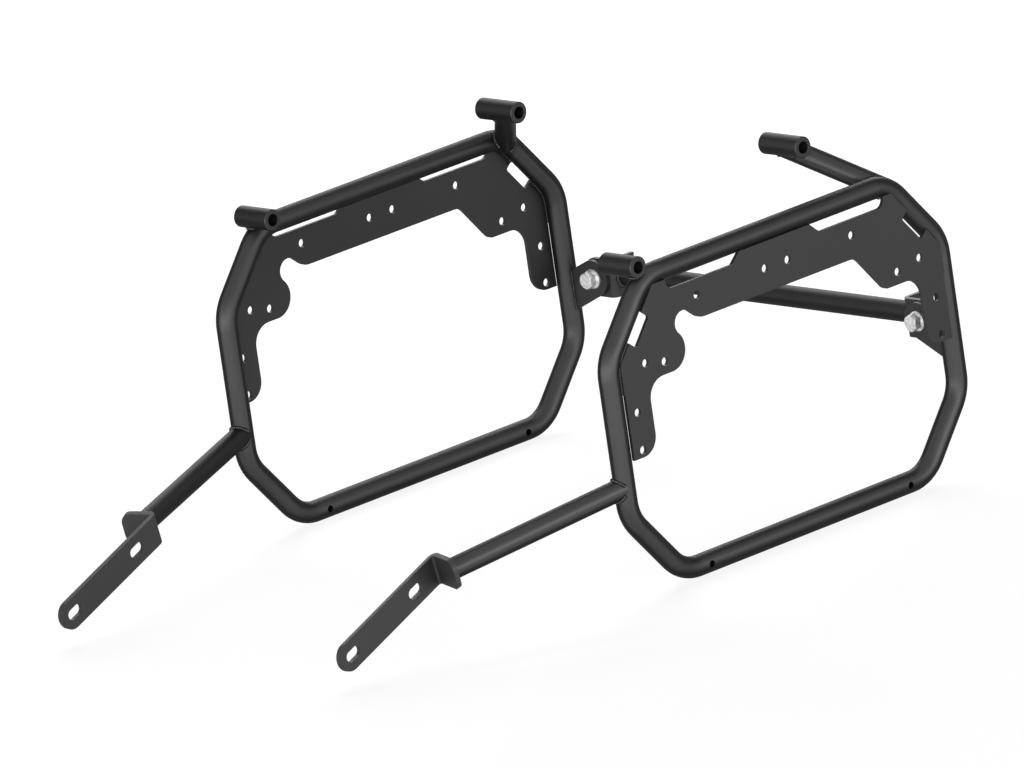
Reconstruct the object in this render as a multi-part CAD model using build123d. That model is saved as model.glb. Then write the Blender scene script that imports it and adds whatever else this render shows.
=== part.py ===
from build123d import *
import math
import os

os.makedirs("parts", exist_ok=True)

# Millimetres. X runs across the pair, Y to the rear, Z up. The two bottom tubes stand on Z = 0.
# Side pieces are laid out about the middle of a hoop, then lifted and shifted at export.

# Tube stock shared by hoops, arms and cross brace
tube_od = 18.0
tube_wall = 2.0
tube_r = tube_od / 2
tube_bore_r = tube_r - tube_wall

# Hoop, sizes to the tube centre line
hoop_x = 227.5
hoop_length = 377.0
hoop_height = 248.0
corner_run = 49.3
corner_rise = 59.6
bend_r = 36.0
peg_hole_d = 6.0
peg_hole_spacing = 228.0
half_l = hoop_length / 2
half_h = hoop_height / 2
top_y = half_l - corner_run
side_z = half_h - corner_rise

# Case plate, its outer face level with the outermost line of the tubes.
# Drops hang from the top tube and insets run in from the end tubes, both from the centre line.
plate_t = 3.0
plate_seat = 6.3
plate_hole_d = 7.0
rail_drop = 47.4
rail_inset = 101.5
rail_round = 12.0
rail_hole_drop = 28.0
rail_mid_holes = (14.0, -12.0)
rail_end_hole_inset = (101.5, 99.0)
shoulder_drop = 82.0
shoulder_inset = 73.5
shoulder_round = 10.0
shoulder_hole_rise = (15.0, 10.5)
rear_shoulder_inset = (30.5, 56.5)
front_shoulder_inset = (33.5, 54.5)
finger_inset = 33.5
finger_gap = 7.0
finger_gap_drop = 27.4
finger_l = 59.6
finger_round = 16.0
finger_hole_inset = 17.8
finger_hole_rise = (37.6, 6.1)
lobe_r = 17.0
lobe_inset = 61.5
notch_r = 10.0
notch_angle = 44.5
notch_exit_angle = 40.0
slot_drop = 15.0
slot_inset = 15.0
slot_round = 7.0
slot_aft = 2.5
tab_half = 41.5
tab_slant = 8.4
tab_round = 4.0
corner_window = 28.1
corner_window_depth = 15.5
corner_window_low = 2.35
corner_window_round = 2.0
rail_z = half_h - rail_drop
shoulder_z = half_h - shoulder_drop
finger_low = shoulder_z - finger_l
finger_inner = half_l - finger_inset

# Sleeves, axes along X
sleeve_od = 18.0
sleeve_bore_d = 10.5
sleeve_edge = 0.6
front_sleeve_l = 38.0
front_sleeve_in = 10.3
front_sleeve_angle = 28.5
front_sleeve_seat = 17.8
front_sleeve_x = hoop_x - front_sleeve_in
rear_sleeve_l = 44.0
rear_sleeve_in = 58.9
rear_sleeve_fore = 49.4
rear_sleeve_rise = 41.4
rear_sleeve_x = hoop_x - rear_sleeve_in
rear_sleeve_y = top_y - rear_sleeve_fore
rear_sleeve_z = half_h + rear_sleeve_rise

# Upper rear arm, from the bend of the hoop to a little inboard of the rear sleeve's middle
rear_arm_angle = 33.8
rear_arm_in = 5.6

# Lower front arm, from the front upright forward, inward and down to the foot bracket
low_arm_up = 25.9
low_arm_in = 43.7
low_arm_fore = 159.9
low_arm_down = 27.6

# Foot bracket, one bent strip with two slots
foot_t = 4.0
foot_in = 63.25
foot_w = 24.4
foot_slope = 22.2
foot_flange_l = 36.2
foot_flange_slope = 1.3
foot_bend_out = 6.0
foot_bend_in = 2.0
foot_slot_1 = 33.0
foot_slot_pitch = 81.0
foot_slot_w = 9.0
foot_slot_l = 16.0
foot_end = 3.5
foot_round = 12.0
foot_round_top = 9.0
foot_round_low = 5.0

# Lug on the rear upright, with the bolt that carries the cross brace
lug_t = 4.0
lug_r = 15.5
lug_slope = 25.4
bolt_in = 34.5
bolt_down = 8.8
bolt_d = 8.0
bolt_hole_d = 9.0
bolt_x = hoop_x - bolt_in
bolt_z = -bolt_down

# Angle brackets at the ends of the cross brace
angle_t = 4.0
angle_h = 33.0
angle_web_in = 20.5
angle_out = 11.0
angle_round = 10.0
angle_bend_out = 6.5
angle_bend_in = 2.5
brace_back = 16.0
brace_margin = 3.25
angle_web_x = bolt_x - angle_web_in
brace_y = half_l + brace_back

# Flange bolt and flange nut
bolt_flange_d = 17.0
bolt_flange_t = 1.6
bolt_hex = 13.0
bolt_head_h = 9.5
nut_h = 8.0
nut_clear = 0.05
bolt_tail = 3.0


def tube_face(start, heading, bore=True):
    """Ring, or full disc, square to a heading at a start point."""
    plane = Plane(origin=start, z_dir=heading)
    face = Circle(tube_r)
    if bore:
        face = face - Circle(tube_bore_r)
    return plane * face


def straight(start, end, bore=True):
    run = Vector(*end) - Vector(*start)
    return extrude(tube_face(start, run, bore), amount=run.length, dir=run.normalized())


def hoop_corners():
    ring = [(half_l, -side_z), (half_l, side_z), (top_y, half_h), (-top_y, half_h)]
    return ring + [(-y, -z) for y, z in ring]


def hoop_solid(bore=True):
    """Closed loop of eight straights and eight bends."""
    pts = [Vector(hoop_x, y, z) for y, z in hoop_corners()]
    count = len(pts)
    ends = []
    pieces = []
    for i, corner in enumerate(pts):
        before = (corner - pts[i - 1]).normalized()
        after = (pts[(i + 1) % count] - corner).normalized()
        turn = math.acos(before.dot(after))
        reach = bend_r * math.tan(turn / 2)
        start = corner - before * reach
        centre = start + Vector(1, 0, 0).cross(before) * bend_r
        axis = Axis(centre, (1, 0, 0))
        pieces.append(revolve(tube_face(start, before, bore), axis, math.degrees(turn)))
        ends.append((start, corner + after * reach))
    for i in range(count):
        pieces.append(straight(ends[i][1], ends[(i + 1) % count][0], bore))
    body = pieces[0]
    for piece in pieces[1:]:
        body = body + piece
    return body


def bend_point(turn, radius, rear):
    """Point beside an upper end bend, turned from straight up towards the hoop end."""
    chamfer = math.atan2(corner_rise, corner_run)
    centre_y = top_y - bend_r * math.tan(chamfer / 2)
    centre_z = half_h - bend_r
    angle = math.radians(turn)
    side = 1 if rear else -1
    return side * (centre_y + radius * math.sin(angle)), centre_z + radius * math.cos(angle)


def outline(points):
    """Edges through points (u, v, radius), each corner rounded by its radius."""
    edges = []
    last = None
    for i, (u, v, radius) in enumerate(points):
        corner = Vector(u, v)
        if 0 < i < len(points) - 1 and radius > 0:
            back = (Vector(*points[i - 1][:2]) - corner).normalized()
            ahead = (Vector(*points[i + 1][:2]) - corner).normalized()
            half = math.acos(back.dot(ahead)) / 2
            reach = radius / math.tan(half)
            mid = (back + ahead).normalized() * (radius / math.sin(half) - radius)
            first, second = corner + back * reach, corner + ahead * reach
            edges.append(Line(last, first))
            edges.append(ThreePointArc(first, corner + mid, second))
            last = second
        else:
            if last is not None:
                edges.append(Line(last, corner))
            last = corner
    return edges


def closed_face(points):
    return make_face(outline(points + [points[0]]))


def case_window():
    """Everything the plate leaves open inside the hoop: lobe and notch at the front, plain at the rear."""
    far = hoop_length
    lean = math.radians(notch_angle)
    leave = math.radians(notch_exit_angle)
    lobe = Vector(lobe_inset - half_l, shoulder_z + lobe_r)
    notch = lobe + Vector(math.cos(lean), math.sin(lean)) * (lobe_r + notch_r)
    touch = lobe + Vector(math.cos(lean), math.sin(lean)) * lobe_r
    top = notch + Vector(math.sin(leave), math.cos(leave)) * notch_r
    rail_start = top.X + (top.Y - rail_z) / math.tan(leave)
    lobe_mid = math.radians((notch_angle - 90) / 2)
    notch_mid = math.radians((180 + notch_angle + 90 - notch_exit_angle) / 2)
    front = [(-far, finger_low, 0), (-finger_inner, finger_low, finger_round)]
    front += [(-finger_inner, shoulder_z, lobe_r), (lobe.X, shoulder_z, 0)]
    rear = [(top.X, top.Y, 0), (rail_start, rail_z, finger_round), (half_l - rail_inset, rail_z, rail_round)]
    rear += [(half_l - shoulder_inset, shoulder_z, shoulder_round), (finger_inner, shoulder_z, finger_round)]
    rear += [(finger_inner, finger_low, finger_round), (far, finger_low, 0), (far, -far, 0)]
    rear += [(-far, -far, 0), (-far, finger_low, 0)]
    lobe_way = Vector(math.cos(lobe_mid), math.sin(lobe_mid))
    notch_way = Vector(math.cos(notch_mid), math.sin(notch_mid))
    edges = outline(front)
    edges.append(ThreePointArc((lobe.X, shoulder_z), lobe + lobe_way * lobe_r, touch))
    edges.append(ThreePointArc(touch, notch + notch_way * notch_r, top))
    return make_face(edges + outline(rear))


def plate_hole_spots():
    rear_end, front_end = rail_end_hole_inset
    spots = [(y, half_h - rail_hole_drop) for y in (*rail_mid_holes, half_l - rear_end, front_end - half_l)]
    for side, insets in ((1, rear_shoulder_inset), (-1, front_shoulder_inset)):
        spots += [(side * (half_l - y), shoulder_z + z) for y, z in zip(insets, shoulder_hole_rise)]
        spots += [(side * (half_l - finger_hole_inset), finger_low + z) for z in finger_hole_rise]
    return spots


def case_plate(hoop_core):
    ring = [Vector(y, z) for y, z in hoop_corners()]
    blank = make_face(Polyline(*ring, close=True))
    blank = offset(blank, amount=-plate_seat, kind=Kind.INTERSECTION)
    blank = blank - case_window()
    chamfer = math.degrees(math.atan2(corner_rise, corner_run))
    slot_low = half_h - slot_drop
    slot_out = top_y - slot_inset
    gap_h = side_z - finger_gap_drop - 2 * finger_low
    for side in (1, -1):
        slot = [(side * (tab_half - tab_slant), half_h, 0)]
        slot += [(side * (tab_half + tab_slant), slot_low, tab_round)]
        slot += [(side * slot_out, slot_low, slot_round), (side * slot_out, half_h, 0)]
        blank = blank - Pos(slot_aft) * closed_face(slot)
        middle = Pos(side * (top_y + half_l) / 2, (side_z + half_h) / 2)
        window = RectangleRounded(corner_window, 2 * corner_window_depth, corner_window_round)
        blank = blank - middle * Rot(0, 0, -side * chamfer) * Pos(side * corner_window_low) * window
        gap = Pos(side * (half_l - finger_gap / 2), 2 * finger_low + gap_h / 2) * Rectangle(finger_gap, gap_h)
        blank = blank - gap
    for y, z in plate_hole_spots():
        blank = blank - Pos(y, z) * Circle(plate_hole_d / 2)
    face_x = hoop_x + tube_r - plate_t
    sheet = extrude(Plane(origin=(face_x, 0, 0), x_dir=(0, 1, 0), z_dir=(1, 0, 0)) * blank, plate_t)
    return sheet - hoop_core


def sleeve(centre_x, y, z, length, bore=True):
    start = Plane(origin=(centre_x - length / 2, y, z), z_dir=(1, 0, 0))
    body = extrude(start * Circle(sleeve_od / 2), length)
    if bore:
        body = chamfer(body.edges(), sleeve_edge)
        body = body - extrude(start * Circle(sleeve_bore_d / 2), length)
    return body


def foot_bracket(root):
    """Bent strip: flange square to the arm, long leg in a plane of constant X."""
    u = low_arm_run.normalized()
    foot_x = hoop_x - foot_in
    rise = Vector(1, 0, 0).cross(u).normalized()
    if rise.Z < 0:
        rise = rise * -1
    face = root + low_arm_run
    lean = rise.cross(Vector(1, 0, 0))
    ux, uv = u.X, u.dot(lean)
    out_x, out_v = -uv, ux
    out = Vector(1, 0, 0) * out_x + lean * out_v
    corner = face - out * ((face.X - foot_x) / out_x)
    inner = ((foot_t - foot_t * ux) / out_x)
    leg = foot_slot_1 + foot_slot_pitch + foot_w * 2
    profile = [(0, -leg, 0), (0, 0, foot_bend_out), (out_x * foot_flange_l, out_v * foot_flange_l, 0)]
    profile += [(out_x * foot_flange_l + ux * foot_t, out_v * foot_flange_l + uv * foot_t, 0)]
    profile += [(foot_t, uv * foot_t + out_v * inner, foot_bend_in), (foot_t, -leg, 0)]
    section = Plane(origin=corner - rise * leg / 2, x_dir=(1, 0, 0), z_dir=rise) * closed_face(profile)
    angle = extrude(section, leg, dir=rise)
    slope = Vector(0, -math.cos(math.radians(foot_slope)), -math.sin(math.radians(foot_slope)))
    flat = Plane(origin=corner, x_dir=slope, z_dir=(1, 0, 0))
    tip = foot_slot_1 + foot_slot_pitch + foot_end + foot_w / 2
    strip = flat * Pos(tip / 2) * Rectangle(tip + 2 * foot_w, foot_w)
    beyond = flat * Pos(tip + foot_w) * Rectangle(2 * foot_w, 2 * foot_w)
    across = out + rise * math.tan(math.radians(foot_flange_slope))
    body = angle & extrude(strip, foot_w * 2, dir=across, both=True)
    body = body - extrude(beyond, foot_t)
    for place in (foot_slot_1, foot_slot_1 + foot_slot_pitch):
        body = body - extrude(flat * Pos(place) * SlotOverall(foot_slot_l, foot_slot_w), foot_t)
    flange_end = body.faces().sort_by(Axis.X)[-1]
    leg_end = body.faces().sort_by(Axis(corner, slope))[-1]
    rounds = []
    for end, radii in ((flange_end, (foot_round_low, foot_round_top)), (leg_end, (foot_round, foot_round))):
        short = sorted(end.edges().sort_by(SortBy.LENGTH)[:2], key=lambda edge: edge.center().Z)
        rounds += [(edge.center(), radius) for edge, radius in zip(short, radii)]
    for spot, radius in rounds:
        body = fillet(body.edges().sort_by_distance(spot)[0], radius)
    return body


def brace_lug(hoop_core):
    slope = Vector(math.cos(math.radians(lug_slope)), -math.sin(math.radians(lug_slope)))
    reach = (hoop_x - bolt_x) / slope.X
    shape = Rot(0, 0, -lug_slope) * Pos(reach / 2) * Rectangle(reach, 2 * lug_r)
    shape = shape + Circle(lug_r) - Circle(bolt_hole_d / 2)
    trim = Pos((hoop_x - bolt_x) / 2 - lug_r) * Rectangle(hoop_x - bolt_x + 2 * lug_r, hoop_height)
    face = Plane(origin=(bolt_x, half_l + lug_t / 2, bolt_z), x_dir=(1, 0, 0), z_dir=(0, -1, 0))
    return extrude(face * (shape & trim), lug_t) - hoop_core


def brace_bracket():
    front = half_l + lug_t / 2
    rear = brace_y + tube_r + brace_margin
    web = angle_web_x
    outer = bolt_x + angle_out
    shape = [(outer, front, 0), (outer, front + angle_t, 0), (web + angle_t, front + angle_t, angle_bend_in)]
    shape += [(web + angle_t, rear, 0), (web, rear, 0), (web, front, angle_bend_out)]
    body = extrude(Plane.XY.offset(bolt_z - angle_h / 2) * closed_face(shape), angle_h)
    body = fillet(body.faces().sort_by(Axis.X)[-1].edges().filter_by(Axis.Y), angle_round)
    hole = Plane(origin=(bolt_x, front, bolt_z), z_dir=(0, 1, 0))
    return body - extrude(hole * Circle(bolt_hole_d / 2), angle_t)


def hex_head(face, height):
    """Hex with its outer corners turned away, standing on a plane."""
    body = extrude(face * RegularPolygon(bolt_hex / 2, 6, major_radius=False), height)
    dome = extrude(face * Circle(bolt_hex / math.sqrt(3) - 0.2), height)
    return body & chamfer(dome.edges().group_by(Axis.Y)[-1 if face.z_dir.Y > 0 else 0], 1.0)


def flange_skirt(face):
    skirt = extrude(face * Circle(bolt_flange_d / 2), bolt_flange_t)
    cap = face.offset(bolt_flange_t)
    return skirt + extrude(cap * Circle(bolt_flange_d / 2), bolt_flange_t, taper=45)


def bolt():
    seat = half_l - lug_t / 2
    face = Plane(origin=(bolt_x, seat, bolt_z), z_dir=(0, -1, 0))
    shank = extrude(face * Circle(bolt_d / 2), -(lug_t + angle_t + nut_h + bolt_tail))
    return flange_skirt(face) + hex_head(face, bolt_head_h) + shank


def nut():
    seat = half_l + lug_t / 2 + angle_t
    face = Plane(origin=(bolt_x, seat, bolt_z), z_dir=(0, 1, 0))
    body = flange_skirt(face) + hex_head(face, nut_h)
    return body - extrude(face * Circle(bolt_d / 2 + nut_clear), nut_h)


hoop_core = hoop_solid(bore=False)
hoop = hoop_solid()
for peg_y in (peg_hole_spacing / 2, -peg_hole_spacing / 2):
    drill = Plane(origin=(hoop_x - tube_od, peg_y, -half_h), z_dir=(1, 0, 0))
    hoop = hoop - extrude(drill * Circle(peg_hole_d / 2), 2 * tube_od)

front_y, front_z = bend_point(front_sleeve_angle, bend_r + front_sleeve_seat, False)
front_sleeve = sleeve(front_sleeve_x, front_y, front_z, front_sleeve_l) - hoop_core
rear_sleeve = sleeve(rear_sleeve_x, rear_sleeve_y, rear_sleeve_z, rear_sleeve_l)
rear_sleeve_core = sleeve(rear_sleeve_x, rear_sleeve_y, rear_sleeve_z, rear_sleeve_l, bore=False)

arm_y, arm_z = bend_point(rear_arm_angle, bend_r, True)
rear_arm = straight((hoop_x, arm_y, arm_z), (rear_sleeve_x - rear_arm_in, rear_sleeve_y, rear_sleeve_z))
rear_arm = rear_arm - hoop_core - rear_sleeve_core

low_root = Vector(hoop_x, -half_l, low_arm_up - side_z)
low_arm_run = Vector(-low_arm_in, -low_arm_fore, -low_arm_down)
low_arm = straight(low_root, low_root + low_arm_run) - hoop_core

side_pieces = {
    "hoop": hoop,
    "case_plate": case_plate(hoop_core),
    "front_sleeve": front_sleeve,
    "rear_sleeve": rear_sleeve,
    "rear_arm": rear_arm,
    "lower_arm": low_arm,
    "foot_bracket": foot_bracket(low_root),
    "brace_lug": brace_lug(hoop_core),
    "brace_bracket": brace_bracket(),
}

# The frame is centred on its own length and stands on the two bottom tubes
foremost = side_pieces["foot_bracket"].bounding_box().min.Y
rearmost = brace_y + tube_r + brace_margin
place = Pos(0, -(foremost + rearmost) / 2, half_h + tube_r)
for name, piece in side_pieces.items():
    export_step(place * piece, "parts/left_" + name + ".step")
    export_step(place * mirror(piece, about=Plane.YZ), "parts/right_" + name + ".step")

brace_end = Vector(angle_web_x, brace_y, bolt_z)
cross_brace = straight(Vector(-angle_web_x, brace_y, bolt_z), brace_end)
export_step(place * cross_brace, "parts/cross_brace.step")
for name, piece in (("brace_bolts", bolt()), ("brace_nuts", nut())):
    pair = Compound(children=[place * piece, place * mirror(piece, about=Plane.YZ)])
    export_step(pair, "parts/" + name + ".step")
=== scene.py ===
import math

import bpy
from mathutils import Matrix, Vector
from mathutils.kdtree import KDTree


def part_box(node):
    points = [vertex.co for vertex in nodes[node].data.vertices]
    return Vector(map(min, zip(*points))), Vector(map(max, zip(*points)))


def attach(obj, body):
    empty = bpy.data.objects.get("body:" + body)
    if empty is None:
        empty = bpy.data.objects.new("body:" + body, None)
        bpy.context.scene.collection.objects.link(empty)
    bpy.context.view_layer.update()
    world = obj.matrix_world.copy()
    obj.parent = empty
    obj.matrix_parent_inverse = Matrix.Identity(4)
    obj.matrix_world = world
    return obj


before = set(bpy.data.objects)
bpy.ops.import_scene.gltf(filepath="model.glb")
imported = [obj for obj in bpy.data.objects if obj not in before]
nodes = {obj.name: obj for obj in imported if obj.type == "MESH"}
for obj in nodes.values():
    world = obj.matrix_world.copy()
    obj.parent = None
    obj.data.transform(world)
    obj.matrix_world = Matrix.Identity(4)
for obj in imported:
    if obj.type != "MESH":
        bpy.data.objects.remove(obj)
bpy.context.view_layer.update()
print("frame:", len(nodes), "nodes")


def addNode(tree, kind, x, y, **settings):
    node = tree.nodes.new(kind)
    node.location = (x * 200, y * 160)
    for name, value in settings.items():
        setattr(node, name, value)
    return node


def newGroup(name, kind, inputs, outputs):
    tree = bpy.data.node_groups.new(name, kind)
    for socketName, socketType, value in inputs:
        socket = tree.interface.new_socket(socketName, in_out="INPUT", socket_type=socketType)
        if value is not None:
            socket.default_value = value
    for socketName, socketType in outputs:
        tree.interface.new_socket(socketName, in_out="OUTPUT", socket_type=socketType)
    ends = addNode(tree, "NodeGroupInput", -4, 0), addNode(tree, "NodeGroupOutput", 5, 0)
    return (tree,) + ends


def newMaterial(name):
    material = bpy.data.materials.new(name)
    material.use_nodes = True
    tree = material.node_tree
    tree.nodes.clear()
    output = addNode(tree, "ShaderNodeOutputMaterial", 5, 0)
    return material, tree, output


def placeGroup(tree, group, x, y, **values):
    node = addNode(tree, "ShaderNodeGroup", x, y, node_tree=group)
    for name, value in values.items():
        node.inputs[name].default_value = value
    return node


def blendColour(tree, x, y, dark, light):
    mix = addNode(tree, "ShaderNodeMix", x, y, data_type="RGBA")
    mix.inputs["A"].default_value = dark + (1,)
    mix.inputs["B"].default_value = light + (1,)
    return mix


# powder coat: fine grain over a slow orange peel, and a cloudy tone
grainLook = dict(detail=dict(Grain=2, Peel=1, Cloud=3), grainShare=0.45,
                 masks=dict(Speck=("Grain", 0.35, 0.65), Cloud=("Cloud", 0.3, 0.7)))


def makeCoatGrain():
    tree, source, sink = newGroup(
        "coatGrain", "ShaderNodeTree",
        [("Vector", "NodeSocketVector", None), ("Grain Scale", "NodeSocketFloat", 1500),
         ("Peel Scale", "NodeSocketFloat", 320), ("Cloud Scale", "NodeSocketFloat", 22)],
        [("Height", "NodeSocketFloat"), ("Speck", "NodeSocketFloat"), ("Cloud", "NodeSocketFloat")])
    link = tree.links.new
    noises = {}
    for row, (name, detail) in enumerate(grainLook["detail"].items()):
        noise = addNode(tree, "ShaderNodeTexNoise", -2, 1 - row * 1.6)
        noise.inputs["Detail"].default_value = detail
        link(source.outputs["Vector"], noise.inputs["Vector"])
        link(source.outputs[name + " Scale"], noise.inputs["Scale"])
        noises[name] = noise.outputs["Fac"]
    both = addNode(tree, "ShaderNodeMath", 0, 1, operation="MULTIPLY_ADD")
    both.inputs[1].default_value = grainLook["grainShare"]
    link(noises["Grain"], both.inputs[0])
    link(noises["Peel"], both.inputs[2])
    link(both.outputs[0], sink.inputs["Height"])
    for row, (mask, (name, low, high)) in enumerate(grainLook["masks"].items()):
        stretch = addNode(tree, "ShaderNodeMapRange", 1, -1 - row * 1.6)
        stretch.inputs["From Min"].default_value = low
        stretch.inputs["From Max"].default_value = high
        link(noises[name], stretch.inputs["Value"])
        link(stretch.outputs["Result"], sink.inputs[mask])
    return tree


# rounded corners in the light, and a mask for a painted highlight on them
def makeRoundEdgeAndHighlight():
    tree, source, sink = newGroup(
        "roundEdgeAndHighlight", "ShaderNodeTree",
        [("Radius", "NodeSocketFloat", 0.0008), ("Gain", "NodeSocketFloat", 4)],
        [("Normal", "NodeSocketVector"), ("Highlight Mask", "NodeSocketFloat")])
    bevel = addNode(tree, "ShaderNodeBevel", -2, 0, samples=6)
    plain = addNode(tree, "ShaderNodeNewGeometry", -2, -2)
    cosine = addNode(tree, "ShaderNodeVectorMath", 0, -1, operation="DOT_PRODUCT")
    away = addNode(tree, "ShaderNodeMath", 1, -1, operation="SUBTRACT")
    away.inputs[0].default_value = 1
    gained = addNode(tree, "ShaderNodeMath", 2, -1, operation="MULTIPLY", use_clamp=True)
    tree.links.new(source.outputs["Radius"], bevel.inputs["Radius"])
    tree.links.new(bevel.outputs["Normal"], cosine.inputs[0])
    tree.links.new(plain.outputs["Normal"], cosine.inputs[1])
    tree.links.new(cosine.outputs["Value"], away.inputs[1])
    tree.links.new(away.outputs[0], gained.inputs[0])
    tree.links.new(source.outputs["Gain"], gained.inputs[1])
    tree.links.new(bevel.outputs["Normal"], sink.inputs["Normal"])
    # the mask places the painted highlight where the rounded normal turns away from the plain one
    tree.links.new(gained.outputs[0], sink.inputs["Highlight Mask"])
    return tree


coatGrain = makeCoatGrain()
roundEdgeAndHighlight = makeRoundEdgeAndHighlight()

# copies of one black powder coat, made darker or lighter as painted shade and light; the satin
# gloss is full face on and dies away at a slant, over fade
coats = {
    # tubes: a darker copy of the coat, painted shade for their undersides
    "tubeCoatPaintedShade": dict(dark=(0.011, 0.011, 0.0115), light=(0.015, 0.015, 0.015),
                     edge=(0.032, 0.032, 0.032), edgeRadius=0.0007, rough=(0.44, 0.54),
                     gloss=(0.24, 0.050), fade=(0.19, 0.40), glossRough=0.45, peel=0.10,
                     grainScale=1500, peelScale=320, cloudScale=22),
    "plateCoat": dict(dark=(0.024, 0.024, 0.0245), light=(0.028, 0.028, 0.028),
                      edge=(0.045, 0.045, 0.045), edgeRadius=0.0009, rough=(0.48, 0.58),
                      gloss=(0.136, 0.13), fade=(0.34, 0.54), glossRough=0.46, peel=0.12,
                      grainScale=1700, peelScale=380, cloudScale=16),
    # feet: a lighter copy of the plates' coat, painted light
    "footCoatPaintedLight": dict(dark=(0.028, 0.028, 0.0285), light=(0.033, 0.033, 0.033),
                     edge=(0.048, 0.048, 0.048), edgeRadius=0.0009, rough=(0.46, 0.56),
                     gloss=(0.155, 0.14), fade=(0.34, 0.54), glossRough=0.46, peel=0.12,
                     grainScale=1700, peelScale=380, cloudScale=16),
    # welds: the darkest copy, painted shade in the grooves beside the bead
    "weldCoatPaintedShade": dict(dark=(0.006, 0.006, 0.0065), light=(0.010, 0.010, 0.010),
                     edge=(0.016, 0.016, 0.016), edgeRadius=0.0004, rough=(0.38, 0.48),
                     gloss=(0.34, 0.008), fade=(0.08, 0.34), glossRough=0.36, peel=0.16,
                     grainScale=1500, peelScale=600, cloudScale=40),
}
coatBase = dict(glossIor=2.5, underGloss=0.01, edgeGain=4, peelDepth=0.0004)
zincLook = dict(dark=(0.52, 0.53, 0.54), light=(0.86, 0.86, 0.85), edge=(0.88, 0.88, 0.87),
                edgeRadius=0.0004, edgeGain=3, rough=(0.36, 0.54), metal=0.5, peel=0.08,
                peelDepth=0.0002, grainScale=2600, peelScale=900, cloudScale=420)


# what every finish has: a cloudy colour, a painted highlight on the edges, uneven roughness and a
# fine bump
def newFinish(name, v, roughMask):
    material, tree, output = newMaterial(name)
    place = addNode(tree, "ShaderNodeTexCoord", -4, 0)
    grain = placeGroup(tree, coatGrain, -3, 0, **{
        "Grain Scale": v["grainScale"], "Peel Scale": v["peelScale"],
        "Cloud Scale": v["cloudScale"]})
    rim = placeGroup(tree, roundEdgeAndHighlight, -3, -2, Radius=v["edgeRadius"], Gain=v["edgeGain"])
    tone = blendColour(tree, -1, 1, v["dark"], v["light"])
    # the edges get a paler colour, a painted highlight
    colour = blendColour(tree, 1, 1, v["dark"], v["edge"])
    sheen = addNode(tree, "ShaderNodeMapRange", -1, -1)
    sheen.inputs["To Min"].default_value, sheen.inputs["To Max"].default_value = v["rough"]
    bump = addNode(tree, "ShaderNodeBump", 1, -2)
    bump.inputs["Strength"].default_value = v["peel"]
    bump.inputs["Distance"].default_value = v["peelDepth"]
    shader = addNode(tree, "ShaderNodeBsdfPrincipled", 3, 0)
    link = tree.links.new
    link(place.outputs["Object"], grain.inputs["Vector"])
    link(grain.outputs["Cloud"], tone.inputs["Factor"])
    link(tone.outputs["Result"], colour.inputs["A"])
    link(rim.outputs["Highlight Mask"], colour.inputs["Factor"])
    link(colour.outputs["Result"], shader.inputs["Base Color"])
    link(grain.outputs[roughMask], sheen.inputs["Value"])
    link(sheen.outputs["Result"], shader.inputs["Roughness"])
    link(grain.outputs["Height"], bump.inputs["Height"])
    link(rim.outputs["Normal"], bump.inputs["Normal"])
    link(bump.outputs["Normal"], shader.inputs["Normal"])
    link(shader.outputs["BSDF"], output.inputs["Surface"])
    return material, tree, shader


def makeCoat(name):
    v = {**coatBase, **coats[name]}
    material, tree, shader = newFinish(name, v, "Speck")
    slant = addNode(tree, "ShaderNodeLayerWeight", -1, -3)
    fade = addNode(tree, "ShaderNodeMapRange", 1, -3, interpolation_type="SMOOTHSTEP")
    fade.inputs["From Min"].default_value, fade.inputs["From Max"].default_value = v["fade"]
    fade.inputs["To Min"].default_value, fade.inputs["To Max"].default_value = v["gloss"]
    shader.inputs["Specular IOR Level"].default_value = v["underGloss"]
    shader.inputs["Coat Roughness"].default_value = v["glossRough"]
    shader.inputs["Coat IOR"].default_value = v["glossIor"]
    tree.links.new(slant.outputs["Facing"], fade.inputs["Value"])
    tree.links.new(fade.outputs["Result"], shader.inputs["Coat Weight"])
    return material


def makeZinc():
    material, tree, shader = newFinish("brightZinc", zincLook, "Cloud")
    shader.inputs["Metallic"].default_value = zincLook["metal"]
    return material


finishes = {name: makeCoat(name) for name in coats}
finishes["brightZinc"] = makeZinc()
finishWords = {"bolts": "brightZinc", "nuts": "brightZinc", "foot": "footCoatPaintedLight",
               "plate": "plateCoat", "bracket": "plateCoat", "lug": "plateCoat"}
for name, piece in nodes.items():
    named = [finish for word, finish in finishWords.items() if word in name]
    for slot in piece.material_slots:
        slot.material = finishes[named[0] if named else "tubeCoatPaintedShade"]
print("finishes:", ", ".join(finishes))


# the hoop's centre line, needed because the weld seams follow it
hoopShape = dict(cornerRun=0.0493, cornerRise=0.0596, bendRadius=0.036, step=0.0008)


def boxOf(name):
    low, high = (Vector(corner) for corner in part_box(name))
    return low, high, (low + high) / 2


hoopLow, hoopHigh, hoopMid = boxOf("left_hoop")
tubeRadius = (hoopHigh.x - hoopLow.x) / 2
halfLength = (hoopHigh.y - hoopLow.y) / 2 - tubeRadius
halfHeight = (hoopHigh.z - hoopLow.z) / 2 - tubeRadius


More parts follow.
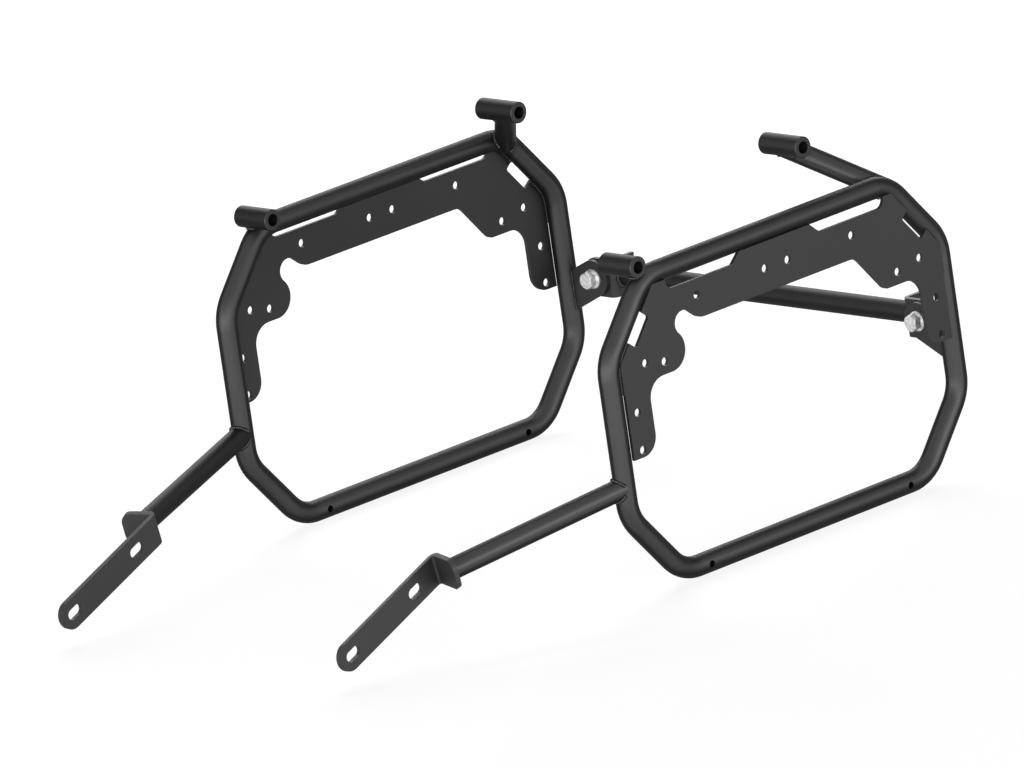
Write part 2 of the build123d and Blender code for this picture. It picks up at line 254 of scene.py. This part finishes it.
# (y, z) points round the hoop's middle, counter-clockwise seen from +X, and the bends' centres
def traceHoop():
    v = hoopShape
    topY, sideZ = halfLength - v["cornerRun"], halfHeight - v["cornerRise"]
    ring = [(halfLength, -sideZ), (halfLength, sideZ), (topY, halfHeight), (-topY, halfHeight)]
    ring = [Vector(point) for point in ring + [(-y, -z) for y, z in ring]]
    bends, centres = [], []
    for index, corner in enumerate(ring):
        entry = (corner - ring[index - 1]).normalized()
        leave = (ring[(index + 1) % len(ring)] - corner).normalized()
        turn = entry.angle(leave)
        first = corner - entry * v["bendRadius"] * math.tan(turn / 2)
        centre = first + Vector((-entry.y, entry.x)) * v["bendRadius"]
        count = math.ceil(turn * v["bendRadius"] / v["step"])
        bends += [centre + Matrix.Rotation(turn * k / count, 2) @ (first - centre)
                  for k in range(count + 1)]
        centres.append(centre)
    line = []
    for here, after in zip(bends, bends[1:] + bends[:1]):
        count = max(1, math.ceil((after - here).length / v["step"]))
        line += [here.lerp(after, k / count) for k in range(count)]
    return line, centres


hoopLine, bendCentres = traceHoop()
rearBend, frontBend = bendCentres[2], bendCentres[3]
hoopTree = KDTree(len(hoopLine))
for index, point in enumerate(hoopLine):
    hoopTree.insert((0, point.x, point.y), index)
hoopTree.balance()


def onHoop(spot, x=None):
    return Vector((hoopMid.x if x is None else x, hoopMid.y + spot[0], hoopMid.z + spot[1]))


def nearestOnHoop(point):
    return hoopTree.find(point - hoopMid)[0] + hoopMid


# part of the hoop between two (y, z) spots, moved inwards from the tube's centre line
def alongHoop(start, end, inward, x, every=3):
    first, last = (hoopTree.find((0,) + spot)[1] for spot in (start, end))
    total = len(hoopLine)
    path = []
    for index in range(first, first + (last - first) % total + 1, every):
        heading = (hoopLine[(index + 1) % total] - hoopLine[(index - 1) % total]).normalized()
        path.append(onHoop(hoopLine[index % total] + Vector((-heading.y, heading.x)) * inward, x))
    return path


# where the weld metal lies on the left side; the right side mirrors it
seamPlan = dict(
    lift=0.0003, loopPoints=40, lugPoints=20,
    armDrop=0.0385, armRun=(-0.0437, -0.1599, -0.0276),
    rearArmAngle=33.8, rearArmIn=0.0056, sleeveLoop=0.0058,
    lugHalf=0.002, lugTop=-0.0045, lugFoot=-0.0375,
    outerSeam=(0.0070, 0.0057), innerSeam=(0.0056, 0.0073),
    gapTop=0.0375, windowBelow=0.0169, windowAbove=0.0122,
    slotFront=0.120, slotRear=0.125, tabFront=0.026, tabRear=0.031)


def ringSeam(centre, axis, radius):
    axis = axis.normalized()
    side = axis.orthogonal().normalized()
    count = seamPlan["loopPoints"]
    turns = (Matrix.Rotation(math.tau * k / count, 3, axis) for k in range(count))
    return [centre + turn @ side * radius for turn in turns]


# where a tube that runs from start along heading meets another at distance reach from its axis,
# left out where the two run side by side; axisPoint gives the nearest point on that axis
def copedSeam(start, heading, radius, reach, axisPoint, meet=0.4, within=1e-5):
    heading = heading.normalized()
    path, kept = [], []
    for point in ringSeam(start, heading, radius):
        away = point - axisPoint(point)
        while away.length - reach > within:
            point = point + heading * (away.length - reach)
            away = point - axisPoint(point)
        path.append(point)
        kept.append(-away.normalized().dot(heading) > meet)
    if all(kept):
        return [(path, True)]
    first = kept.index(False)
    runs = [[]]
    for index in list(range(first, len(path))) + list(range(first)):
        if kept[index]:
            runs[-1].append(path[index])
        elif runs[-1]:
            runs.append([])
    return [(run, False) for run in runs if run]


def tubeSeams():
    v = seamPlan
    lift = v["lift"]
    outside = tubeRadius + lift

    # lower arm: coped on the front upright, square on the foot bracket
    armRoot = onHoop((-halfLength, -v["armDrop"]))
    armRun = Vector(v["armRun"])
    armTip = armRoot + armRun
    seams = copedSeam(armTip, -armRun, outside, outside, nearestOnHoop)
    seams.append((ringSeam(armTip - armRun.normalized() * lift, armRun, outside), True))

    # rear arm: from the rear upper bend to the rear sleeve
    sleeve = boxOf("left_rear_sleeve")[2]
    turn = math.radians(v["rearArmAngle"])
    rearRoot = onHoop(rearBend + Vector((math.sin(turn), math.cos(turn))) * hoopShape["bendRadius"])
    rearTip = sleeve - Vector((v["rearArmIn"], 0, 0))
    middle, rise = (rearRoot + rearTip) / 2, rearTip - rearRoot
    seams += copedSeam(middle, -rise, outside, outside, nearestOnHoop)
    seams += copedSeam(middle, rise, outside, outside,
                       lambda point: Vector((point.x, sleeve.y, sleeve.z)))

    # front sleeve: a saddle-shaped loop round the spot where it crosses the front upper bend
    sleeve = boxOf("left_front_sleeve")[2]
    up = (Vector((sleeve.y - hoopMid.y, sleeve.z - hoopMid.z)) - frontBend).normalized()
    touch = onHoop(frontBend + up * (hoopShape["bendRadius"] + tubeRadius))
    saddle = []
    for k in range(v["loopPoints"]):
        turn = math.tau * k / v["loopPoints"]
        across, along = v["sleeveLoop"] * math.cos(turn), v["sleeveLoop"] * math.sin(turn)
        rise = (along ** 2 - across ** 2) / (4 * tubeRadius)
        saddle.append(touch + Vector((across, up.y * along + up.x * rise,
                                      -up.x * along + up.y * rise)))
    seams.append((saddle, True))

    # cross brace on the angle bracket's web
    braceHigh, braceMid = boxOf("cross_brace")[1:]
    web = Vector((braceHigh.x - lift, braceMid.y, braceMid.z))
    seams.append((ringSeam(web, Vector((1, 0, 0)), outside), True))
    return seams


def plateSeams():
    v = seamPlan
    side = Vector((halfLength, halfHeight - hoopShape["cornerRise"]))
    top = Vector((halfLength - hoopShape["cornerRun"], halfHeight))
    chamfer = (top - side).normalized()
    below = (side + top) / 2 - chamfer * v["windowBelow"]
    above = (side + top) / 2 + chamfer * v["windowAbove"]
    outer, inner = ((hoopMid.x + x, inward) for x, inward in (v["outerSeam"], v["innerSeam"]))
    lines = []
    for x, inward in (outer, inner):
        lines.append(alongHoop((halfLength, v["gapTop"]), tuple(below), inward, x))
        lines.append(alongHoop((-below.x, below.y), (-halfLength, v["gapTop"]), inward, x))
    x, inward = inner
    lines.append(alongHoop(tuple(above), (v["slotRear"], halfHeight), inward, x))
    lines.append(alongHoop((-v["slotFront"], halfHeight), (-above.x, above.y), inward, x))
    lines.append(alongHoop((v["tabRear"], halfHeight), (-v["tabFront"], halfHeight), inward, x))

    # both sides of the brace lug on the rear upright
    half = v["lugHalf"] + v["lift"]
    inboard = hoopMid.x - math.sqrt(tubeRadius ** 2 - v["lugHalf"] ** 2) - v["lift"]
    drop = v["lugFoot"] - v["lugTop"]
    for y in (halfLength - half, halfLength + half):
        lines.append([onHoop((y, v["lugTop"] + drop * k / v["lugPoints"]), inboard)
                      for k in range(v["lugPoints"] + 1)])
    return [(line, False) for line in lines]


# a weld bead: overlapping flat drops of metal along each seam, over a round core
beads = {
    "tube_welds": dict(seams=tubeSeams, radius=0.0016, pitch=0.0014, seed=11),
    "plate_welds": dict(seams=plateSeams, radius=0.0013, pitch=0.0013, seed=23),
}
beadLook = dict(flat=0.52, core=0.66, wobble=0.16, dropSides=10, dropRings=5, coreSides=10)


def makeWeldTree():
    tree, source, sink = newGroup(
        "weldBead", "GeometryNodeTree",
        [("Geometry", "NodeSocketGeometry", None), ("Bead Radius", "NodeSocketFloat", 0.002),
         ("Pitch", "NodeSocketFloat", 0.002), ("Flatness", "NodeSocketFloat", 0.6),
         ("Core Share", "NodeSocketFloat", 0.85), ("Wobble", "NodeSocketFloat", 0.1),
         ("Seed", "NodeSocketInt", 7), ("Coat", "NodeSocketMaterial", None)],
        [("Geometry", "NodeSocketGeometry")])
    curve = addNode(tree, "GeometryNodeMeshToCurve", -3, 0)
    spots = addNode(tree, "GeometryNodeCurveToPoints", -1, 2, mode="LENGTH")
    drop = addNode(tree, "GeometryNodeMeshUVSphere", -2, 3)
    drop.inputs["Segments"].default_value = beadLook["dropSides"]
    drop.inputs["Rings"].default_value = beadLook["dropRings"]
    flat = addNode(tree, "ShaderNodeCombineXYZ", -2, 4)
    flat.inputs["X"].default_value = flat.inputs["Y"].default_value = 1
    squashed = addNode(tree, "GeometryNodeTransform", -1, 3)
    low = addNode(tree, "ShaderNodeMath", -2, 5, operation="SUBTRACT")
    high = addNode(tree, "ShaderNodeMath", -2, 6, operation="ADD")
    low.inputs[0].default_value = high.inputs[0].default_value = 1
    size = addNode(tree, "FunctionNodeRandomValue", -1, 5, data_type="FLOAT")
    drops = addNode(tree, "GeometryNodeInstanceOnPoints", 0, 2)
    even = addNode(tree, "GeometryNodeResampleCurve", -2, -1, mode="LENGTH")
    thin = addNode(tree, "ShaderNodeMath", -2, -2, operation="MULTIPLY")
    ring = addNode(tree, "GeometryNodeCurvePrimitiveCircle", -1, -2)
    ring.inputs["Resolution"].default_value = beadLook["coreSides"]
    core = addNode(tree, "GeometryNodeCurveToMesh", 0, -1)
    core.inputs["Fill Caps"].default_value = True
    joined = addNode(tree, "GeometryNodeJoinGeometry", 1, 0)
    smooth = addNode(tree, "GeometryNodeSetShadeSmooth", 2, 0)
    real = addNode(tree, "GeometryNodeRealizeInstances", 3, 0)
    coat = addNode(tree, "GeometryNodeSetMaterial", 4, 0)
    link = tree.links.new
    link(source.outputs["Geometry"], curve.inputs["Mesh"])
    link(curve.outputs["Curve"], spots.inputs["Curve"])
    link(source.outputs["Pitch"], spots.inputs["Length"])
    link(source.outputs["Bead Radius"], drop.inputs["Radius"])
    link(source.outputs["Flatness"], flat.inputs["Z"])
    link(drop.outputs["Mesh"], squashed.inputs["Geometry"])
    link(flat.outputs["Vector"], squashed.inputs["Scale"])
    link(source.outputs["Wobble"], low.inputs[1])
    link(source.outputs["Wobble"], high.inputs[1])
    link(low.outputs[0], size.inputs["Min"])
    link(high.outputs[0], size.inputs["Max"])
    link(source.outputs["Seed"], size.inputs["Seed"])
    link(spots.outputs["Points"], drops.inputs["Points"])
    link(spots.outputs["Rotation"], drops.inputs["Rotation"])
    link(squashed.outputs["Geometry"], drops.inputs["Instance"])
    link(size.outputs["Value"], drops.inputs["Scale"])
    link(curve.outputs["Curve"], even.inputs["Curve"])
    link(source.outputs["Pitch"], even.inputs["Length"])
    link(source.outputs["Bead Radius"], thin.inputs[0])
    link(source.outputs["Core Share"], thin.inputs[1])
    link(thin.outputs[0], ring.inputs["Radius"])
    link(even.outputs["Curve"], core.inputs["Curve"])
    link(ring.outputs["Curve"], core.inputs["Profile Curve"])
    link(core.outputs["Mesh"], joined.inputs["Geometry"])
    link(drops.outputs["Instances"], joined.inputs["Geometry"])
    link(joined.outputs["Geometry"], smooth.inputs["Geometry"])
    link(smooth.outputs["Geometry"], real.inputs["Geometry"])
    link(real.outputs["Geometry"], coat.inputs["Geometry"])
    link(source.outputs["Coat"], coat.inputs["Material"])
    link(coat.outputs["Geometry"], sink.inputs["Geometry"])
    return tree


def setInputs(modifier, tree, values):
    for item in tree.interface.items_tree:
        if item.item_type == "SOCKET" and item.in_out == "INPUT" and item.name in values:
            modifier[item.identifier] = values[item.name]


# runs a tree on a path or shape and keeps the result as a plain mesh
def bakeNodes(name, mesh, tree, values):
    piece = bpy.data.objects.new(name, mesh)
    bpy.context.scene.collection.objects.link(piece)
    modifier = piece.modifiers.new("nodes", "NODES")
    modifier.node_group = tree
    setInputs(modifier, tree, values)
    bpy.context.view_layer.update()
    graph = bpy.context.evaluated_depsgraph_get()
    result = bpy.data.meshes.new_from_object(piece.evaluated_get(graph))
    piece.modifiers.remove(modifier)
    result.name = name
    piece.data = result
    return piece


def pathMesh(name, paths, mirror):
    points, edges = [], []
    for path, closed in paths:
        first = len(points)
        points += [(mirror * point.x, point.y, point.z) for point in path]
        edges += [(k, k + 1) for k in range(first, len(points) - 1)]
        if closed:
            edges.append((len(points) - 1, first))
    mesh = bpy.data.meshes.new(name)
    mesh.from_pydata(points, edges, [])
    return mesh


weldTree = makeWeldTree()
for kind, v in beads.items():
    seams = v["seams"]()
    for sideName, mirror in (("left", 1), ("right", -1)):
        name = sideName + "_" + kind
        piece = bakeNodes(name, pathMesh(name, seams, mirror), weldTree, {
            "Bead Radius": v["radius"], "Pitch": v["pitch"], "Flatness": beadLook["flat"],
            "Core Share": beadLook["core"], "Wobble": beadLook["wobble"],
            "Seed": v["seed"] + mirror, "Coat": finishes["weldCoatPaintedShade"]})
        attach(piece, "root")
        print("welds:", name, len(piece.data.polygons), "faces")


# the bolts' bare thread behind the nuts
threadLook = dict(boltIn=0.0345, radius=0.00395, pitch=0.00125, ridge=0.0003, cover=0.0002,
                  turnSteps=32, ridgeSides=6)


def makeThreadTree():
    tree, source, sink = newGroup(
        "boltThread", "GeometryNodeTree",
        [("Geometry", "NodeSocketGeometry", None), ("Radius", "NodeSocketFloat", 0.004),
         ("Length", "NodeSocketFloat", 0.003), ("Pitch", "NodeSocketFloat", 0.00125),
         ("Ridge", "NodeSocketFloat", 0.0003), ("Metal", "NodeSocketMaterial", None)],
        [("Geometry", "NodeSocketGeometry")])
    turns = addNode(tree, "ShaderNodeMath", -3, 2, operation="DIVIDE")
    coil = addNode(tree, "GeometryNodeCurveSpiral", -2, 1)
    coil.inputs["Resolution"].default_value = threadLook["turnSteps"]
    ring = addNode(tree, "GeometryNodeCurvePrimitiveCircle", -2, -1)
    ring.inputs["Resolution"].default_value = threadLook["ridgeSides"]
    ridge = addNode(tree, "GeometryNodeCurveToMesh", -1, 0)
    ridge.inputs["Fill Caps"].default_value = True
    turned = addNode(tree, "GeometryNodeTransform", 0, 0)
    turned.inputs["Rotation"].default_value = (-math.pi / 2, 0, 0)  # along Y, as the bolts lie
    spots = addNode(tree, "GeometryNodeInstanceOnPoints", 1, 0)
    smooth = addNode(tree, "GeometryNodeSetShadeSmooth", 2, 0)
    real = addNode(tree, "GeometryNodeRealizeInstances", 3, 0)
    metal = addNode(tree, "GeometryNodeSetMaterial", 4, 0)
    link = tree.links.new
    link(source.outputs["Length"], turns.inputs[0])
    link(source.outputs["Pitch"], turns.inputs[1])
    link(turns.outputs[0], coil.inputs["Rotations"])
    link(source.outputs["Radius"], coil.inputs["Start Radius"])
    link(source.outputs["Radius"], coil.inputs["End Radius"])
    link(source.outputs["Length"], coil.inputs["Height"])
    link(source.outputs["Ridge"], ring.inputs["Radius"])
    link(coil.outputs["Curve"], ridge.inputs["Curve"])
    link(ring.outputs["Curve"], ridge.inputs["Profile Curve"])
    link(ridge.outputs["Mesh"], turned.inputs["Geometry"])
    link(source.outputs["Geometry"], spots.inputs["Points"])
    link(turned.outputs["Geometry"], spots.inputs["Instance"])
    link(spots.outputs["Instances"], smooth.inputs["Geometry"])
    link(smooth.outputs["Geometry"], real.inputs["Geometry"])
    link(real.outputs["Geometry"], metal.inputs["Geometry"])
    link(source.outputs["Metal"], metal.inputs["Material"])
    link(metal.outputs["Geometry"], sink.inputs["Geometry"])
    return tree


def makeThreads():
    v = threadLook
    boltHigh, boltMid = boxOf("brace_bolts")[1:]
    start = boxOf("brace_nuts")[1].y - v["cover"]
    length = boltHigh.y - start - v["ridge"]
    reach = hoopMid.x - v["boltIn"]
    spots = bpy.data.meshes.new("brace_threads")
    spots.from_pydata([(x, start, boltMid.z) for x in (-reach, reach)], [], [])
    piece = bakeNodes("brace_threads", spots, makeThreadTree(), {
        "Radius": v["radius"], "Length": length, "Pitch": v["pitch"], "Ridge": v["ridge"],
        "Metal": finishes["brightZinc"]})
    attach(piece, "root")
    print("threads:", len(piece.data.polygons), "faces")


makeThreads()


# 1 for camera, glossy and transmission rays, 0 for the light that bounces
def seenDirectly(tree):
    rays = addNode(tree, "ShaderNodeLightPath", -2, -1)
    first = addNode(tree, "ShaderNodeMath", -1, -1, operation="MAXIMUM")
    second = addNode(tree, "ShaderNodeMath", 0, -1, operation="MAXIMUM")
    tree.links.new(rays.outputs["Is Camera Ray"], first.inputs[0])
    tree.links.new(rays.outputs["Is Glossy Ray"], first.inputs[1])
    tree.links.new(first.outputs[0], second.inputs[0])
    tree.links.new(rays.outputs["Is Transmission Ray"], second.inputs[1])
    return second.outputs[0]


# pale floor: takes the shadow, and reads as white where it is seen
floorLook = dict(size=60, colour=(0.16, 0.16, 0.16), glow=0.88)


def makeFloor():
    v = floorLook
    half = v["size"] / 2
    mesh = bpy.data.meshes.new("floor")
    corners = [(-half, -half, 0), (half, -half, 0), (half, half, 0), (-half, half, 0)]
    mesh.from_pydata(corners, [], [(0, 1, 2, 3)])
    floor = bpy.data.objects.new("floor", mesh)
    bpy.context.scene.collection.objects.link(floor)
    material, tree, output = newMaterial("paleFloor")
    matt = addNode(tree, "ShaderNodeBsdfDiffuse", 2, 1)
    matt.inputs["Color"].default_value = v["colour"] + (1,)
    glow = addNode(tree, "ShaderNodeEmission", 2, -1)
    strength = addNode(tree, "ShaderNodeMath", 1, -1, operation="MULTIPLY")
    strength.inputs[1].default_value = v["glow"]
    both = addNode(tree, "ShaderNodeAddShader", 3, 0)
    tree.links.new(seenDirectly(tree), strength.inputs[0])
    tree.links.new(strength.outputs[0], glow.inputs["Strength"])
    tree.links.new(matt.outputs[0], both.inputs[0])
    tree.links.new(glow.outputs[0], both.inputs[1])
    tree.links.new(both.outputs[0], output.inputs["Surface"])
    mesh.materials.append(material)


roomLight = dict(ambient=0.08)


def makeWorld():
    world = bpy.data.worlds.new("studio")
    bpy.context.scene.world = world
    world.use_nodes = True
    tree = world.node_tree
    tree.nodes.clear()
    output = addNode(tree, "ShaderNodeOutputWorld", 4, 0)
    room = addNode(tree, "ShaderNodeBackground", 3, 0)
    strength = addNode(tree, "ShaderNodeMapRange", 2, 0)
    strength.inputs["To Min"].default_value = roomLight["ambient"]
    room.inputs["Color"].default_value = (1, 1, 1, 1)
    tree.links.new(seenDirectly(tree), strength.inputs["Value"])
    tree.links.new(strength.outputs["Result"], room.inputs["Strength"])
    tree.links.new(room.outputs[0], output.inputs["Surface"])


# softboxes: four low ones round the camera's side, and two high behind for the upper rims;
# share is the part of white that each one gives at the aim
lamps = {
    "leftBox": dict(place=(-0.07, -2.39, 0.31), size=(2.0, 0.5), share=0.46),
    "frontBox": dict(place=(1.79, -1.59, 0.31), size=(2.0, 0.5), share=0.40),
    "rightBox": dict(place=(2.37, 0.35, 0.31), size=(2.0, 0.5), share=0.38),
    "sideBox": dict(place=(1.25, 2.04, 0.31), size=(2.0, 0.5), share=0.06),
    "rimBox": dict(place=(-1.88, 1.67, 1.37), size=(2.2, 1.2), share=1.1),
    "topStrip": dict(place=(-1.35, 1.19, 2.28), size=(2.2, 0.35), share=0.35),
}
lampAim = Vector((0, 0, 0.14))


def makeLamps():
    for name, v in lamps.items():
        lamp = bpy.data.lights.new(name, "AREA")
        lamp.shape = "RECTANGLE"
        lamp.size, lamp.size_y = v["size"]
        reach = lampAim - Vector(v["place"])
        lamp.energy = v["share"] * (math.pi * reach.length) ** 2
        piece = bpy.data.objects.new(name, lamp)
        piece.location = v["place"]
        piece.rotation_euler = reach.to_track_quat("-Z", "Y").to_euler()
        piece.visible_camera = False
        bpy.context.scene.collection.objects.link(piece)


shot = dict(azimuth=48.43908, elevation=14.74907, roll=-8.26601, aim=(0.01958, 0.01582, 0.13791),
            distance=17.08275, lens=738.2823, sensor=36, sight=200)


def makeCamera():
    v = shot
    camera = bpy.data.objects.new("camera", bpy.data.cameras.new("camera"))
    bpy.context.scene.collection.objects.link(camera)
    turn, rise = math.radians(v["azimuth"]), math.radians(v["elevation"])
    level = math.cos(rise)
    back = Vector((math.sin(turn) * level, -math.cos(turn) * level, math.sin(rise)))
    camera.location = Vector(v["aim"]) + back * v["distance"]
    roll = Matrix.Rotation(math.radians(v["roll"]), 3, "Z")
    facing = back.to_track_quat("Z", "Y").to_matrix() @ roll
    camera.rotation_euler = facing.to_euler()
    camera.data.sensor_width = v["sensor"]
    camera.data.lens = v["lens"]
    camera.data.clip_end = v["sight"]
    bpy.context.scene.camera = camera


makeFloor()
makeWorld()
makeLamps()
makeCamera()
bpy.context.scene.view_settings.view_transform = "Standard"
print("studio: floor, world,", len(lamps), "lamps, camera")
